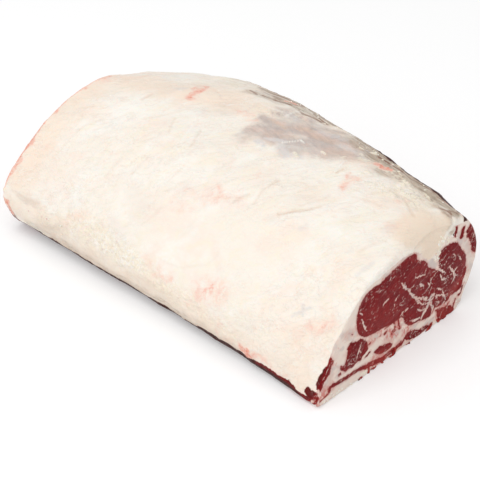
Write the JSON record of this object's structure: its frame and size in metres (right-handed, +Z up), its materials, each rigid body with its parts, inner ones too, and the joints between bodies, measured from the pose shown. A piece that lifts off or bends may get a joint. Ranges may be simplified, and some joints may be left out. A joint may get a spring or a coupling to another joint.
{
  "type": "raw beef rib roast",
  "caption": "Raw boneless beef rib roast lying fat cap up, with a cut face of eye, cap and lip muscles at each end and shallow rib beds underneath.",
  "frame": {"origin": "middle of the underside, on the surface that the roast rests on", "axes": "+X along the length towards the cut end with the open eye muscle, +Y towards the chine side, +Z up through the fat cap"},
  "size_m": [0.36, 0.2365, 0.1152],
  "materials": {
    "fat": "moist creamy beef fat with a thin veil of silverskin and faint pink marks",
    "lean": "wet dark red cut muscle with fine white marbling and fat seams"
  },
  "bodies": {
    "root": {"rib_roast": "fat"}
  },
  "joints": []
}
